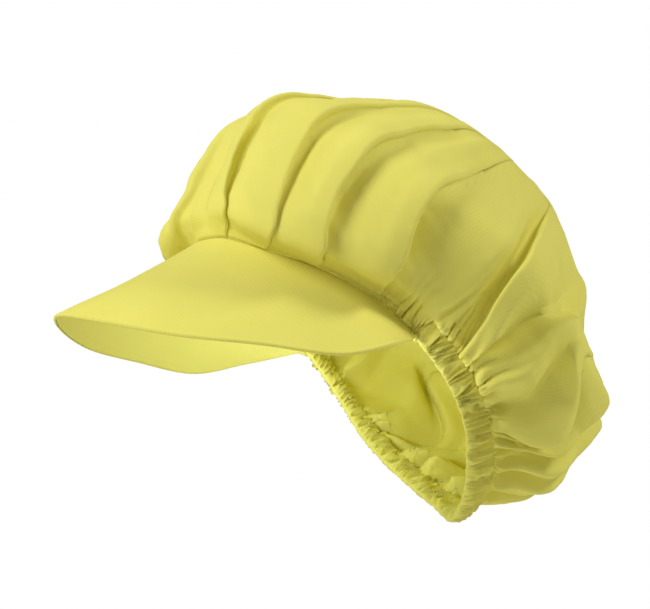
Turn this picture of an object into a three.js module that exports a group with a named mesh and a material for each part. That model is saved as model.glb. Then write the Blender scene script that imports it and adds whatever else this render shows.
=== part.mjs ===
// A soft catering cap with a peak, as it sits on a head. Millimetres, +Z up.
// The peak points along -Y and the wearer's left is +X. The origin lies on the head's upright axis,
// level with the middle of the seam between the peak and the crown.
import * as THREE from "three";

// Driving sizes
const CLOTH = 1.9;             // wall of the crown
const PEAK_CLOTH = 1.3;        // wall of each cloth of the peak
const GAP = 0.35;              // clearance between neighbouring pieces
const CASING_WIDTH = 15;       // elastic channel, from its free edge to its stitch line
const CASING_THICK = 4.2;
const CASING_RUCHE = 0.4;      // how far its wrinkles stand up and sink in
const CASING_STATIONS = 76;    // facets along the casing
const CASING_SIDES = 8;        // facets round it
const STITCH_CLEAR = 0.2;      // from the casing's top to the stitch line
const CASING_END = 87.5;       // degrees round the opening, from the middle of the forehead
const SEAM_LEAN = 46.5;        // degrees that the opening slopes down towards the nape
const FORE_SEAM = [0, -84, 0]; // middle of the forehead seam
const OPENING_LENGTH = 208;    // forehead seam to nape
const PEAK_DOME = 0.5;         // how far the peak arches over a straight line
const DOME_WAY = [0, -0.45, 0.9];
const SEAM_STAND = 2.8;        // from the crown's middle line out to the peak's, at their seam
const EDGE_ROUND = [1.3, 0.6]; // the peak's turned edge: out and up, where its top bends over
const EDGE_OUT = 1.7;          // its outermost line
const EDGE_SPLAY = 0.1;        // how much wider its inside is at the bottom
const PEAK_COLUMNS = 32;       // facets across the peak
const PEAK_ROWS = [0, 0.14, 0.32, 0.5, 0.68, 0.84, 1];
const COLUMNS = 120;           // facets round the crown

const YELLOW = 0xe6db66;
const YELLOW_UNDER = 0xdbd063;
const MATT = 0.88;

// The opening for the head, every 15 degrees from forehead to nape:
// along the slope, half breadth, height over the sloping plane
const OPENING = [
  [-104, 0, 0],
  [-101, 24, 1],
  [-88, 44, 5],
  [-70, 58, 13],
  [-47, 67, 21],
  [-22, 71, 26],
  [5, 72, 26],
  [30, 72, 23],
  [52, 67, 17],
  [69, 53, 12],
  [85.5, 34, 8],
  [98, 15, 4],
  [104, 0, 0],
];

// Rings of the crown from the opening (0) to its middle (1). Each row holds the ring, its front, its half
// breadth and its back, its height at the front, side and back, how square it is at the front and back
// corners, and how much it drops at the front corners
const RINGS = [
  [0.0, -104, 72, 104, 0, 26, 0, 0, 0, -8],
  [0.025, -107.5, 77, 105, 4, 31, 6, 0.15, 0, -11],
  [0.07, -112, 88, 109, 10, 38, 18, 0.62, 0.1, -18],
  [0.18, -120, 98, 123, 36, 58, 48, 0.45, 0.1, -12],
  [0.34, -130, 106, 127, 71, 82, 83, 0.15, 0.1, -7],
  [0.5, -121.5, 97, 116, 94, 98, 103, -0.1, 0, 0],
  [0.66, -101, 80, 94, 118, 119, 121, -0.1, -0.1, 0],
  [0.82, -72, 57, 67, 144, 142, 143, 0, 0, 0],
  [0.94, -28, 24, 27, 159, 157, 157, 0, 0, 0],
  [1.0, 0, 0, 0, 160, 160, 160, 0, 0, 0],
];
const RING_BLEND = 0.22;       // up to this ring the crown still follows the opening's own outline
const CORNER = 0.25;           // how far a fully square corner stands out
const SEAM_RING = 0.003;       // ring at which the crown's cloth starts in front
const START_BLEND = [6, 3];    // degrees before the casing at which that changes, and over how many
const ROW_STEP = 0.012;        // least distance in rings from one row of the crown to the next
const CROWN_ROWS = [0.024, 0.06, 0.1, 0.145, 0.2, 0.27, 0.35, 0.44, 0.54, 0.65, 0.76, 0.87, 0.95];

// Knife pleats on the forehead, in degrees either side of the middle; each fold faces the rear
const PLEATS = [12, 30, 48, 72];
// ring, height of a fold over the panel behind it
const PLEAT_HEIGHT = [
  [0, 0.6],
  [0.022, 1.6],
  [0.06, 7],
  [0.1, 9.5],
  [0.17, 10],
  [0.3, 8],
  [0.5, 5],
  [0.7, 2],
  [0.85, 0],
  [1, 0],
];
// ring, degrees that the fold's rear face takes up
const PLEAT_DROP = [[0, 2.5], [0.1, 3], [0.2, 4], [0.35, 7], [0.5, 11], [0.8, 16], [1, 16]];
const PANEL_BEND = 1.4;        // how late a panel climbs to its fold
const MIDDLE_PANEL = 0.75;     // height of the middle panel between its two folds, as a share of theirs

// Long folds that rise from the casing: degrees, half width in degrees, height (hollows are negative),
// first and last ring, and degrees of lean from the first ring to the last
const FOLDS = [
  [80, 4, 3, 0.02, 0.25, 0],
  [95, 3.5, -9, 0.05, 0.75, -4],
  [100, 3.5, 6, 0.05, 0.6, -3],
  [105, 3.5, -7, 0.05, 0.6, 14],
  [114, 6, 6, 0.05, 0.62, 6],
  [126, 3, -6, 0.04, 0.4, 6],
  [131, 3, 4, 0.04, 0.4, 4],
  [137, 3, -6, 0.04, 0.5, 2],
  [145, 4, 5, 0.05, 0.5, 0],
  [153, 3, -6, 0.04, 0.45, 0],
  [161, 4, 5, 0.04, 0.5, 0],
  [168, 3, -5, 0.04, 0.4, 0],
  [176, 4, 4, 0.04, 0.5, 0],
];
const FOLD_SPREAD = 1.2;       // how much wider a fold is at its last ring
const FOLD_RISE = 6;           // how fast it rises after its first ring, and sinks towards its last
const FOLD_FADE = 1.6;
// The crease across the back, where the top of the bag sags over its lower part
const SAG = { ring: 0.58, width: 0.07, depth: 7, from: 105, fade: 30 };
// How far the pleats lean to the rear just above the seam: degrees from the middle, lean in degrees
const LEAN = [[0, 0], [12, 8], [30, 11], [48, 7], [72, 0], [180, 0]];
// ring, share of that lean
const LEAN_SHARE = [[0, 0], [0.03, 0.6], [0.07, 1], [0.14, 0.9], [0.2, 0.6], [0.3, 0.2], [0.4, 0], [1, 0]];

// Outer edge of the peak, from its middle to the end at the opening
const PEAK_EDGE = [
  [0, -170, -43],
  [33, -157, -48],
  [65.5, -128.5, -56],
  [89.5, -91, -61],
  [102, -52.5, -66],
  [100.5, -21, -60],
  [76.5, 3, -54],
];
const EDGE_LEAD = 1.3;         // how much sooner the edge closes in on its end than the seam does

// Steps for measuring: ring, degrees, and the peak's own share
const RING_STEP = 0.004;
const WIDTH_STEP = 0.0005;
const ANGLE_STEP = 1;
const SHARE_STEP = 0.01;

const RAD = Math.PI / 180;
const lean = SEAM_LEAN * RAD;
const centre = [
  0,
  FORE_SEAM[1] + (OPENING_LENGTH / 2) * Math.cos(lean),
  FORE_SEAM[2] - (OPENING_LENGTH / 2) * Math.sin(lean),
];

// A point given across, along the slope and over the sloping plane, in the part's own axes
function slopePoint(across, along, over) {
  return new THREE.Vector3(
    centre[0] + across,
    centre[1] + along * Math.cos(lean) + over * Math.sin(lean),
    centre[2] - along * Math.sin(lean) + over * Math.cos(lean),
  );
}

// Straight line through the pairs of a table
function along(table, x) {
  for (let i = 1; i < table.length; i += 1) {
    if (x <= table[i][0]) {
      const [x0, y0] = table[i - 1];
      const [x1, y1] = table[i];
      return y0 + ((y1 - y0) * (x - x0)) / (x1 - x0);
    }
  }
  return table[table.length - 1][1];
}

function smooth(x) {
  const t = THREE.MathUtils.clamp(x, 0, 1);
  return t * t * (3 - 2 * t);
}

// Slopes of the smooth curve through one column of RINGS that never overshoots a ring
function ringSlopes(column) {
  const step = [];
  const rise = [];
  for (let i = 0; i < RINGS.length - 1; i += 1) {
    step.push(RINGS[i + 1][0] - RINGS[i][0]);
    rise.push((RINGS[i + 1][column] - RINGS[i][column]) / step[i]);
  }
  const slopes = [rise[0]];
  for (let i = 1; i < rise.length; i += 1) {
    if (rise[i - 1] * rise[i] <= 0) {
      slopes.push(0);
    } else {
      const before = 2 * step[i] + step[i - 1];
      const after = step[i] + 2 * step[i - 1];
      slopes.push((before + after) / (before / rise[i - 1] + after / rise[i]));
    }
  }
  slopes.push(rise[rise.length - 1]);
  return slopes;
}
const slopesOf = RINGS[0].map((_, column) => (column ? ringSlopes(column) : []));

function ringAt(v) {
  let i = 0;
  while (i < RINGS.length - 2 && v > RINGS[i + 1][0]) {
    i += 1;
  }
  const span = RINGS[i + 1][0] - RINGS[i][0];
  const t = (v - RINGS[i][0]) / span;
  const keep = (1 + 2 * t) * (1 - t) ** 2;
  const reach = t * t * (3 - 2 * t);
  const out = t * (1 - t) ** 2 * span;
  const back = t * t * (t - 1) * span;
  return RINGS[i].map((value, column) =>
    column === 0
      ? v
      : keep * value +
        reach * RINGS[i + 1][column] +
        out * slopesOf[column][i] +
        back * slopesOf[column][i + 1],
  );
}

// The ring's own outline at an angle in degrees: across, along, over
function ringPoint(angle, v) {
  const [, front, side, back, frontUp, sideUp, backUp, squareFront, squareBack, drop] = ringAt(v);
  const c = Math.cos(angle * RAD);
  const s = Math.sin(angle * RAD);
  const corner = Math.abs(Math.sin(2 * angle * RAD));
  const ahead = c > 0;
  const square = 1 + CORNER * corner * (ahead ? squareFront : squareBack);
  return [
    side * s * square,
    (front + back) / 2 - ((back - front) / 2) * c * square,
    (ahead ? frontUp : backUp) * c * c + sideUp * s * s + (ahead ? drop * corner * corner : 0),
  ];
}

const openingCurve = new THREE.CatmullRomCurve3(
  [...OPENING, ...OPENING.slice(1, -1).reverse().map(([t, x, n]) => [t, -x, n])].map(
    ([t, x, n]) => new THREE.Vector3(x, t, n),
  ),
  true,
  "catmullrom",
);

// The smooth crown without its folds
function crownBase(angle, v) {
  const turn = (((angle % 360) + 360) % 360) / 360;
  const [x, t, n] = ringPoint(angle, v);
  const share = Math.max(0, 1 - v / RING_BLEND) ** 2;
  if (share > 0) {
    const opening = openingCurve.getPoint(turn);
    const [x0, t0, n0] = ringPoint(angle, 0);
    return slopePoint(
      x + share * (opening.x - x0),
      t + share * (opening.y - t0),
      n + share * (opening.z - n0),
    );
  }
  return slopePoint(x, t, n);
}

function crownNormal(angle, v) {
  const round = crownBase(angle + ANGLE_STEP, v).sub(crownBase(angle - ANGLE_STEP, v));
  const low = Math.max(v - RING_STEP, 0);
  const high = Math.min(v + RING_STEP, 1 - RING_STEP / 4);
  const up = crownBase(angle, high).sub(crownBase(angle, low));
  return round.cross(up).normalize();
}

// Height of the knife pleats: each panel climbs to its fold and falls behind it
function pleatHeight(angle, v) {
  const a = Math.abs(angle);
  const drop = along(PLEAT_DROP, v);
  const [first] = PLEATS;
  if (a <= first) {
    return along(PLEAT_HEIGHT, v) * (MIDDLE_PANEL + (1 - MIDDLE_PANEL) * (a / first) ** 2);
  }
  let start = first;
  for (const fold of PLEATS.slice(1)) {
    if (a <= fold) {
      const climb = ((a - start) / (fold - start)) ** PANEL_BEND;
      return along(PLEAT_HEIGHT, v) * Math.max(climb, 1 - smooth((a - start) / drop));
    }
    start = fold;
  }
  return along(PLEAT_HEIGHT, v) * (1 - smooth((a - start) / drop));
}

// Height of the long folds, each a bell curve across its line, and of the crease across the back
function foldHeight(angle, v) {
  const a = Math.abs(angle);
  let height = 0;
  for (const [at, width, high, from, to, slant] of FOLDS) {
    const t = (v - from) / (to - from);
    if (t > 0 && t < 1) {
      const off = (a - at - slant * t) / (width * (1 + FOLD_SPREAD * t));
      height += high * smooth(t * FOLD_RISE) * smooth((1 - t) * FOLD_FADE) * Math.exp(-off * off);
    }
  }
  const sag = (v - SAG.ring) / SAG.width;
  return height - SAG.depth * smooth((a - SAG.from) / SAG.fade) * Math.exp(-sag * sag);
}

// Angle of the cloth at a ring, where its pleats lean to the rear
function crownAngle(angle, v) {
  return angle + Math.sign(angle) * along(LEAN, Math.abs(angle)) * along(LEAN_SHARE, v);
}

// Ring at which the crown's cloth starts: on the forehead seam in front, on the casing behind it
function crownStart(angle) {
  const [before, over] = START_BLEND;
  const behind = smooth((Math.abs(angle) - CASING_END + before) / over);
  return SEAM_RING + behind * (ringAtWidth(Math.abs(angle), CASING_WIDTH + GAP) - SEAM_RING);
}

// Ring that lies a given width up the crown from the opening
function ringAtWidth(angle, width) {
  let v = 0;
  let length = 0;
  let last = crownBase(angle, 0);
  while (length < width) {
    v += WIDTH_STEP;
    const next = crownBase(angle, v);
    length += next.distanceTo(last);
    last = next;
  }
  return v;
}

// A closed wall between two grids of points that run the same way. Rows go from the first edge to the
// last, columns close on themselves where loop is set; a pole closes the last row to one point
function wall(outer, inner, loop, poles) {
  const rows = outer.length;
  const columns = outer[0].length;
  const points = [];
  const index = (face, row, column) => (face * rows + row) * columns + (column % columns);
  for (const face of [outer, inner]) {
    for (const row of face) {
      for (const point of row) {
        points.push(point.x, point.y, point.z);
      }
    }
  }
  const triangles = [];
  const quad = (a, b, c, d) => triangles.push(a, b, c, a, c, d);
  const spans = loop ? columns : columns - 1;
  for (let row = 0; row < rows - 1; row += 1) {
    for (let column = 0; column < spans; column += 1) {
      const [a, b] = [index(0, row, column), index(0, row, column + 1)];
      const [c, d] = [index(0, row + 1, column + 1), index(0, row + 1, column)];
      quad(a, b, c, d);
      const [e, f] = [index(1, row, column), index(1, row, column + 1)];
      const [g, h] = [index(1, row + 1, column + 1), index(1, row + 1, column)];
      quad(e, h, g, f);
    }
  }
  for (let column = 0; column < spans; column += 1) {
    quad(index(1, 0, column), index(1, 0, column + 1), index(0, 0, column + 1), index(0, 0, column));
    if (!poles) {
      const last = rows - 1;
      quad(
        index(0, last, column),
        index(0, last, column + 1),
        index(1, last, column + 1),
        index(1, last, column),
      );
    }
  }
  if (!loop) {
    for (let row = 0; row < rows - 1; row += 1) {
      quad(index(0, row, 0), index(0, row + 1, 0), index(1, row + 1, 0), index(1, row, 0));
      const last = columns - 1;
      quad(index(1, row, last), index(1, row + 1, last), index(0, row + 1, last), index(0, row, last));
    }
  }
  if (poles) {
    poles.forEach((pole, face) => {
      const tip = points.length / 3;
      points.push(pole.x, pole.y, pole.z);
      for (let column = 0; column < columns; column += 1) {
        const [a, b] = [index(face, rows - 1, column), index(face, rows - 1, column + 1)];
        triangles.push(...(face ? [b, a, tip] : [a, b, tip]));
      }
    });
  }
  const geometry = new THREE.BufferGeometry();
  geometry.setAttribute("position", new THREE.Float32BufferAttribute(points, 3));
  geometry.setIndex(triangles);
  geometry.computeVertexNormals();
  return geometry;
}

function cloth(name, geometry, color) {
  const material = new THREE.MeshStandardMaterial({ color, roughness: MATT, metalness: 0 });
  const mesh = new THREE.Mesh(geometry, material);
  mesh.name = name;
  return mesh;
}

// The crown's wall: its two faces lie half a cloth either side of the pleated middle sheet
function makeCrown() {
  const outer = [];
  const inner = [];
  const angles = Array.from({ length: COLUMNS }, (_, i) => (i * 360) / COLUMNS - 180);
  for (let row = 0; row <= CROWN_ROWS.length; row += 1) {
    const outerRow = [];
    const innerRow = [];
    for (const angle of angles) {
      const start = crownStart(angle);
      const v = row === 0 ? start : Math.max(CROWN_ROWS[row - 1], start + ROW_STEP * row);
      const turned = crownAngle(angle, v);
      const normal = crownNormal(turned, v);
      const height = pleatHeight(angle, v) + foldHeight(angle, v);
      const point = crownBase(turned, v);
      outerRow.push(point.clone().addScaledVector(normal, height + CLOTH / 2));
      innerRow.push(point.clone().addScaledVector(normal, height - CLOTH / 2));
    }
    outer.push(outerRow);
    inner.push(innerRow);
  }
  const top = crownBase(0, 1);
  const up = new THREE.Vector3(0, Math.sin(lean), Math.cos(lean));
  const poles = [top.clone().addScaledVector(up, CLOTH / 2), top.clone().addScaledVector(up, -CLOTH / 2)];
  return cloth("crown", wall(outer, inner, true, poles), YELLOW);
}

// A ruched tube round the opening's sides and back
function makeCasing() {
  const rows = [];
  for (let i = 0; i <= CASING_STATIONS; i += 1) {
    const angle = CASING_END + ((360 - 2 * CASING_END) * i) / CASING_STATIONS;
    const top = ringAtWidth(Math.min(angle, 360 - angle), CASING_WIDTH - STITCH_CLEAR);
    const ruche = i % 2 ? CASING_RUCHE : -CASING_RUCHE;
    const row = [];
    for (let k = 0; k < CASING_SIDES; k += 1) {
      const turn = (k / CASING_SIDES) * 2 * Math.PI;
      const share = 0.5 - 0.5 * Math.cos(turn);
      const thick = (CASING_THICK / 2 + ruche) * Math.sin(turn);
      const v = share * top;
      row.push(crownBase(angle, v).addScaledVector(crownNormal(angle, v), thick));
    }
    rows.push(row);
  }
  const points = rows.flat().flatMap((point) => [point.x, point.y, point.z]);
  const triangles = [];
  for (let i = 0; i < CASING_STATIONS; i += 1) {
    for (let k = 0; k < CASING_SIDES; k += 1) {
      const [a, b] = [i * CASING_SIDES + k, i * CASING_SIDES + ((k + 1) % CASING_SIDES)];
      const [c, d] = [b + CASING_SIDES, a + CASING_SIDES];
      triangles.push(a, c, b, a, d, c);
    }
  }
  for (const [start, flip] of [[0, false], [CASING_STATIONS * CASING_SIDES, true]]) {
    for (let k = 1; k < CASING_SIDES - 1; k += 1) {
      triangles.push(start, start + (flip ? k + 1 : k), start + (flip ? k : k + 1));
    }
  }
  const geometry = new THREE.BufferGeometry();
  geometry.setAttribute("position", new THREE.Float32BufferAttribute(points, 3));
  geometry.setIndex(triangles);
  geometry.computeVertexNormals();
  return cloth("elastic_casing", geometry, YELLOW_UNDER);
}

const edgeCurve = new THREE.CatmullRomCurve3(
  [...PEAK_EDGE.slice(1).reverse().map(([x, y, z]) => [-x, y, z]), ...PEAK_EDGE].map(
    ([x, y, z]) => new THREE.Vector3(x, y, z),
  ),
  false,
  "catmullrom",
);

// The peak's middle sheet from the seam (0) to the edge (1), across from -1 to 1
function peakPoint(side, out) {
  const angle = side * CASING_END;
  const seam = crownBase(angle, 0).addScaledVector(crownNormal(angle, SHARE_STEP), SEAM_STAND);
  const reach = Math.sign(side) * (1 - (1 - Math.abs(side)) ** EDGE_LEAD);
  const edge = edgeCurve.getPoint((reach + 1) / 2);
  const point = seam.clone().lerp(edge, out);
  const rise = PEAK_DOME * Math.sin(Math.PI * out) * (1 - side * side);
  return point.addScaledVector(new THREE.Vector3(...DOME_WAY), rise);
}

// Directions on that sheet: outward across its edge, and up from it
function peakFrame(side, out) {
  const [left, right] = [Math.min(side + SHARE_STEP, 1), Math.max(side - SHARE_STEP, -1)];
  const [ahead, behind] = [Math.min(out + SHARE_STEP, 1), Math.max(out - SHARE_STEP, 0)];
  const across = peakPoint(left, out).sub(peakPoint(right, out));
  const outward = peakPoint(side, ahead).sub(peakPoint(side, behind));
  const up = outward.cross(across).normalize();
  return { outward: across.cross(up).normalize(), up };
}

// Rows of one face of a peak cloth: pairs of how far out and how far up from the middle sheet, and
// how far past the edge; the spared columns at each end are left out
function peakFace(rows, spared) {
  return rows.map(({ out, beyond, up }) =>
    Array.from({ length: PEAK_COLUMNS + 1 - 2 * spared }, (_, i) => {
      const side = 1 - (2 * (i + spared)) / PEAK_COLUMNS;
      const axes = peakFrame(side, out);
      return peakPoint(side, out)
        .addScaledVector(axes.outward, beyond)
        .addScaledVector(axes.up, up);
    }),
  );
}

// The top cloth, turned over the peak's edge
function makePeakUpper() {
  const low = GAP / 2;
  const high = low + PEAK_CLOTH;
  const outer = PEAK_ROWS.map((out) => ({ out, beyond: 0, up: high }));
  const inner = PEAK_ROWS.map((out) => ({ out, beyond: 0, up: low }));
  const [roundOut, roundUp] = EDGE_ROUND;
  outer.push({ out: 1, beyond: roundOut, up: roundUp }, { out: 1, beyond: EDGE_OUT, up: -high });
  inner.push({ out: 1, beyond: GAP, up: 0 }, { out: 1, beyond: GAP + EDGE_SPLAY, up: -high });
  return cloth("peak_upper", wall(peakFace(outer, 0), peakFace(inner, 0), false), YELLOW);
}

// The cloth under it, which ends inside that turned edge
function makePeakLower() {
  const low = GAP / 2;
  const upper = PEAK_ROWS.map((out) => ({ out, beyond: 0, up: -low }));
  const lower = PEAK_ROWS.map((out) => ({ out, beyond: 0, up: -low - PEAK_CLOTH }));
  return cloth("peak_lower", wall(peakFace(upper, 1), peakFace(lower, 1), false), YELLOW_UNDER);
}

const cap = new THREE.Group();
cap.add(makeCrown(), makeCasing(), makePeakUpper(), makePeakLower());

export default cap;
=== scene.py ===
from math import radians, cos, sin, pi

import bpy
import numpy as np
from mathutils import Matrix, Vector


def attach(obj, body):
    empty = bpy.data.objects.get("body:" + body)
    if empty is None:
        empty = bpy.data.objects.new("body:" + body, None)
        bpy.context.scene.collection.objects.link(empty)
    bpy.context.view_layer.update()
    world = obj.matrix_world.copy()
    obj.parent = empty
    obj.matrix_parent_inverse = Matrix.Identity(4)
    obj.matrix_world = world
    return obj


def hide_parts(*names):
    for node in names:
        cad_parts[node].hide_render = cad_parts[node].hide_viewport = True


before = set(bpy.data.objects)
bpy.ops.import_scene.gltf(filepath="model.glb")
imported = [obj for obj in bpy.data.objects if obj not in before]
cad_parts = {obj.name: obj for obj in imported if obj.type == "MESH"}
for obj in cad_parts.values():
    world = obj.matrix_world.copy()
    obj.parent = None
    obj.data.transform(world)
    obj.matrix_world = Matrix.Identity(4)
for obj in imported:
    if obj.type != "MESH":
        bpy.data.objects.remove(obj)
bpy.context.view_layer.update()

# A soft catering cap with a peak, as it sits on a head. The sizes in the dictionaries are millimetres
# and degrees, and meshes are made in metres. The peak points along -Y, the wearer's left is +X.
mm = 0.001

# The crown's base shape, shared by every piece that is sewn to it
capShape = {
    "foreSeam": (0.0, -84.0, 0.0),   # middle of the forehead seam
    "openingLength": 208.0,          # forehead seam to nape
    "seamLean": 46.5,                # how far the opening slopes down towards the nape
    "openingShare": 0.22,            # up to this ring the crown still follows the opening's outline
    "casingEnd": 87.5,               # angle at which the elastic casing meets the peak
    "casingWidth": 15.0,
    # the opening every 15 degrees from forehead to nape: along the slope, half breadth, height
    "opening": [
        (-104, 0, 0), (-101, 24, 1), (-88, 44, 5), (-70, 58, 13), (-47, 67, 21), (-22, 71, 26), (5, 72, 26),
        (30, 72, 23), (52, 67, 17), (69, 53, 12), (85.5, 34, 8), (98, 15, 4), (104, 0, 0)],
    # rings from the opening (0) to the middle of the crown (1): ring, front, half breadth, back,
    # height in front, at the side and behind, squareness in front and behind, drop of the front corners
    "rings": [
        (0.0, -104, 72, 104, 0, 26, 0, 0, 0, -8),
        (0.025, -107.5, 77, 105, 4, 31, 6, 0.15, 0, -11),
        (0.07, -112, 88, 109, 10, 38, 18, 0.62, 0.1, -18),
        (0.18, -120, 98, 123, 36, 58, 48, 0.45, 0.1, -12),
        (0.34, -130, 106, 127, 71, 82, 83, 0.15, 0.1, -7),
        (0.5, -121.5, 97, 116, 94, 98, 103, -0.1, 0, 0),
        (0.66, -101, 80, 94, 118, 119, 121, -0.1, -0.1, 0),
        (0.82, -72, 57, 67, 144, 142, 143, 0, 0, 0),
        (0.94, -28, 24, 27, 159, 157, 157, 0, 0, 0),
        (1.0, 0, 0, 0, 160, 160, 160, 0, 0, 0)],
}

slope = radians(capShape["seamLean"])
openingCentre = np.array([
    0.0,
    capShape["foreSeam"][1] + capShape["openingLength"] / 2 * cos(slope),
    capShape["foreSeam"][2] - capShape["openingLength"] / 2 * sin(slope)])
openingTable = np.array(capShape["opening"], float)
ringTable = np.array(capShape["rings"], float)


# A smooth step from 0 to 1: 3t^2 - 2t^3
def smoothStep(x):
    t = np.clip(x, 0, 1)
    return t * t * (3 - 2 * t)


# Slope of a curve where two stretches of it meet, so that it never overshoots: the weighted harmonic mean
# of their rises, or nothing where those differ in sign
def gentleSlope(rise0, rise1, step0, step1):
    same = rise0 * rise1 > 0
    weight0, weight1 = 2 * step1 + step0, step1 + 2 * step0
    mean = (weight0 + weight1) / (weight0 / np.where(same, rise0, 1) + weight1 / np.where(same, rise1, 1))
    return np.where(same, mean, 0)


# Cubic between two values with given slopes, t running from 0 to 1 over a span
def cubic(t, span, value0, value1, slope0, slope1):
    return ((1 + 2 * t) * (1 - t) ** 2 * value0 + t * t * (3 - 2 * t) * value1
            + t * (1 - t) ** 2 * span * slope0 + t * t * (t - 1) * span * slope1)


# Catmull-Rom curve between the second and the third of four points, f running from 0 to 1
def catmullRom(p0, p1, p2, p3, f):
    return 0.5 * (2 * p1 + (p2 - p0) * f + (2 * p0 - 5 * p1 + 4 * p2 - p3) * f ** 2
                  + (3 * p1 - p0 - 3 * p2 + p3) * f ** 3)


# Values of a smooth curve through rows of knots and values
def smoothCurve(knots, values, x):
    knots, values = np.asarray(knots, float), np.asarray(values, float)
    step = np.diff(knots).reshape((-1,) + (1,) * (values.ndim - 1))
    rise = np.diff(values, axis=0) / step
    slopes = np.concatenate([rise[:1], gentleSlope(rise[:-1], rise[1:], step[:-1], step[1:]), rise[-1:]])
    i = np.clip(np.searchsorted(knots, x, side="right") - 1, 0, len(knots) - 2)
    span = knots[i + 1] - knots[i]
    t = np.clip((x - knots[i]) / span, 0, 1)
    extra = (1,) * (values.ndim - 1)
    t, span = t.reshape(t.shape + extra), span.reshape(span.shape + extra)
    return cubic(t, span, values[i], values[i + 1], slopes[i], slopes[i + 1])


# A point given across, along the slope and over the sloping plane, in the cap's own axes
def slopePoint(across, along, over):
    return np.stack([
        openingCentre[0] + across,
        openingCentre[1] + along * cos(slope) + over * sin(slope),
        openingCentre[2] - along * sin(slope) + over * cos(slope)], -1)


# A ring's outline: an ellipse whose corners are squared, with its height following cos^2 and sin^2
def ringPoint(angle, ring):
    values = np.moveaxis(smoothCurve(ringTable[:, 0], ringTable[:, 1:], ring), -1, 0)
    front, side, back, frontUp, sideUp, backUp, squareFront, squareBack, drop = values
    c, s = np.cos(np.radians(angle)), np.sin(np.radians(angle))
    corner = np.abs(np.sin(2 * np.radians(angle)))
    ahead = c > 0
    square = 1 + 0.25 * corner * np.where(ahead, squareFront, squareBack)
    return (side * s * square,
            (front + back) / 2 - (back - front) / 2 * c * square,
            np.where(ahead, frontUp, backUp) * c * c + sideUp * s * s
            + np.where(ahead, drop * corner ** 2, 0))


# The opening's edge: a closed Catmull-Rom curve through its table and the table's mirror image
def openingAt(angle):
    loop = np.vstack([openingTable, openingTable[-2:0:-1] * [1, -1, 1]])[:, [1, 0, 2]]
    t = (np.asarray(angle) % 360) / 360 * len(loop)
    i = np.floor(t).astype(int)
    f = (t - i)[..., None]
    return catmullRom(*(loop[(i + k) % len(loop)] for k in (-1, 0, 1, 2)), f)


# The smooth crown: each ring's outline, blended towards the opening's own edge near the opening
def crownBase(angle, ring):
    angle, ring = np.broadcast_arrays(np.asarray(angle, float), np.asarray(ring, float))
    x, t, n = ringPoint(angle, ring)
    x0, t0, n0 = ringPoint(angle, np.zeros_like(ring))
    share = np.maximum(0, 1 - ring / capShape["openingShare"]) ** 2
    rim = openingAt(angle)
    return slopePoint(x + share * (rim[..., 0] - x0), t + share * (rim[..., 1] - t0),
                      n + share * (rim[..., 2] - n0))


def unit(vectors):
    return vectors / np.maximum(np.linalg.norm(vectors, axis=-1, keepdims=True), 1e-9)


# Outward normal of the smooth crown: the cross product of its slopes round and up
def crownNormal(angle, ring):
    ring = np.clip(ring, 0.0, 0.985)
    roundWay = crownBase(angle + 1, ring) - crownBase(angle - 1, ring)
    upWay = crownBase(angle, ring + 0.004) - crownBase(angle, np.maximum(ring - 0.004, 0))
    return unit(np.cross(roundWay, upWay))


# Ring that lies a given width up the crown from the opening, one for each angle
def ringAtWidth(angle, width):
    ring = np.linspace(0, 0.16, 161)
    points = crownBase(angle[:, None], ring[None, :])
    length = np.cumsum(np.linalg.norm(np.diff(points, axis=1), axis=-1), axis=1)
    length = np.concatenate([np.zeros((len(angle), 1)), length], axis=1)
    return np.array([np.interp(width, row, ring) for row in length])


# Soft unevenness of cloth: a sum of sine waves that run in seeded directions, about one unit high
def ripple(points, wavelength, seed, waves=10):
    draw = np.random.default_rng(seed)
    directions = unit(draw.normal(size=(waves, 3)))
    lengths = wavelength * draw.uniform(0.7, 1.5, waves)
    phases = draw.uniform(0, 2 * pi, waves)
    total = np.zeros(points.shape[:-1])
    for direction, length, phase in zip(directions, lengths, phases):
        total += np.sin(points @ direction * (2 * pi / length) + phase)
    return total / np.sqrt(waves)


# Wandering along a length: the same sum of sines in one direction
def wander(x, wavelength, seed, waves=7):
    draw = np.random.default_rng(seed)
    total = np.zeros_like(x, dtype=float)
    for k in range(waves):
        total += np.sin(x * (2 * pi / (wavelength * draw.uniform(0.6, 1.9))) + draw.uniform(0, 2 * pi))
    return total / np.sqrt(waves)


# Pinched waves: round crests between sharp valleys, from -1 to 1
def pinched(x):
    return 2 * np.abs(np.sin(pi * x)) - 1


def makeMesh(name, points, faces, uv=None):
    mesh = bpy.data.meshes.new(name)
    mesh.from_pydata((points * mm).tolist(), [], faces)
    if uv is not None:
        corners = np.zeros(len(mesh.loops), dtype=np.int32)
        mesh.loops.foreach_get("vertex_index", corners)
        mesh.uv_layers.new(name="cloth").data.foreach_set("uv", (uv[corners] * mm).ravel())
    mesh.shade_smooth()
    piece = bpy.data.objects.new(name, mesh)
    bpy.context.collection.objects.link(piece)
    return piece


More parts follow.
